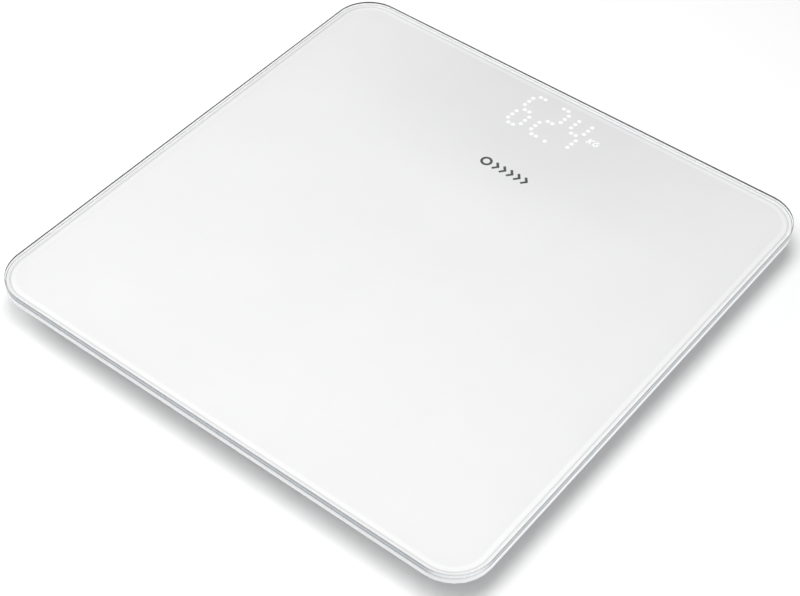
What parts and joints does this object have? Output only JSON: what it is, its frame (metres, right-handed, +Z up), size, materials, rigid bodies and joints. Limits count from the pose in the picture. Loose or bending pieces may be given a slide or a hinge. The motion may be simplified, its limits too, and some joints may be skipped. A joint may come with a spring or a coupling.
{
  "type": "glass body weight scale",
  "caption": "Square clear-glass body weight scale with a white printed underside, full plastic base, sprung load-cell feet, hinged battery door and unit button.",
  "frame": {"origin": "on the floor under the middle of the platform", "axes": "+Z up, +Y towards the display edge, +X to the right of a person reading the display"},
  "size_m": [0.3, 0.3, 0.022],
  "materials": {
    "clear_glass": "clear tempered glass, ground and polished edges",
    "white_print": "white back print seen through the glass",
    "foam_tape": "matt white foam tape",
    "white_plastic": "fine satin white ABS",
    "stamped_steel": "stamped steel",
    "sealant": "white silicone sealant",
    "foot_plastic": "satin white ABS",
    "foot_rubber": "matt grey rubber",
    "grey_cable": "grey PVC",
    "battery_jacket": "printed jacket on steel can",
    "nickel": "nickel plated",
    "black_lead": "black PVC",
    "red_lead": "red PVC",
    "circuit_board": "green solder mask",
    "chip_plastic": "black moulding compound",
    "button_plastic": "satin grey ABS",
    "diffuser_film": "translucent white film"
  },
  "bodies": {
    "root": {"glass_platform": "clear_glass", "print_layer": "white_print", "bonding_tape": "foam_tape", "base_tray": "white_plastic", "load_cell_front_left": "stamped_steel", "gauge_sealant_front_left": "sealant", "foot_ring_front_left": "white_plastic", "sensor_cable_front_left": "grey_cable", "load_cell_front_right": "stamped_steel", "gauge_sealant_front_right": "sealant", "foot_ring_front_right": "white_plastic", "sensor_cable_front_right": "grey_cable", "load_cell_rear_left": "stamped_steel", "gauge_sealant_rear_left": "sealant", "foot_ring_rear_left": "white_plastic", "sensor_cable_rear_left": "grey_cable", "load_cell_rear_right": "stamped_steel", "gauge_sealant_rear_right": "sealant", "foot_ring_rear_right": "white_plastic", "sensor_cable_rear_right": "grey_cable", "battery_1": "battery_jacket", "battery_2": "battery_jacket", "battery_3": "battery_jacket", "contact_negative": "nickel", "contact_positive": "nickel", "contact_bridge_front": "nickel", "contact_bridge_rear": "nickel", "contact_spring_1": "nickel", "contact_spring_2": "nickel", "contact_spring_3": "nickel", "lead_negative": "black_lead", "lead_positive": "red_lead", "main_board": "circuit_board", "controller_chip": "chip_plastic", "tact_switch": "chip_plastic", "board_screw_1": "nickel", "board_screw_2": "nickel", "board_screw_3": "nickel", "board_screw_4": "nickel", "lamp_board": "circuit_board", "display_frame": "white_plastic", "display_diffuser": "diffuser_film", "display_ribbon": "grey_cable", "display_screw_1": "nickel", "display_screw_2": "nickel"},
    "battery_door": {"battery_door": "white_plastic"},
    "unit_button": {"unit_button": "button_plastic", "switch_plunger": "button_plastic"},
    "foot_front_left": {"foot_plunger_front_left": "foot_plastic", "foot_pad_front_left": "foot_rubber"},
    "foot_front_right": {"foot_plunger_front_right": "foot_plastic", "foot_pad_front_right": "foot_rubber"},
    "foot_rear_left": {"foot_plunger_rear_left": "foot_plastic", "foot_pad_rear_left": "foot_rubber"},
    "foot_rear_right": {"foot_plunger_rear_right": "foot_plastic", "foot_pad_rear_right": "foot_rubber"}
  },
  "joints": [
    {"name": "foot_press_front_left", "type": "slide", "parent": "root", "child": "foot_front_left", "axis": [0, 0, 1], "range_m": [0, 0.00025], "stiffness_N_per_m": 3000, "springref_m": -0.003},
    {"name": "foot_press_front_right", "type": "slide", "parent": "root", "child": "foot_front_right", "axis": [0, 0, 1], "range_m": [0, 0.00025], "stiffness_N_per_m": 3000, "springref_m": -0.003},
    {"name": "foot_press_rear_left", "type": "slide", "parent": "root", "child": "foot_rear_left", "axis": [0, 0, 1], "range_m": [0, 0.00025], "stiffness_N_per_m": 3000, "springref_m": -0.003},
    {"name": "foot_press_rear_right", "type": "slide", "parent": "root", "child": "foot_rear_right", "axis": [0, 0, 1], "range_m": [0, 0.00025], "stiffness_N_per_m": 3000, "springref_m": -0.003},
    {"name": "battery_door_hinge", "type": "hinge", "parent": "root", "child": "battery_door", "pos_m": [0, -0.0292, 0.0043], "axis": [-1, 0, 0], "range_deg": [0, 95]},
    {"name": "unit_button_press", "type": "slide", "parent": "root", "child": "unit_button", "axis": [0, 0, 1], "range_m": [0, 0.0008], "stiffness_N_per_m": 1500, "springref_m": -0.0004}
  ]
}
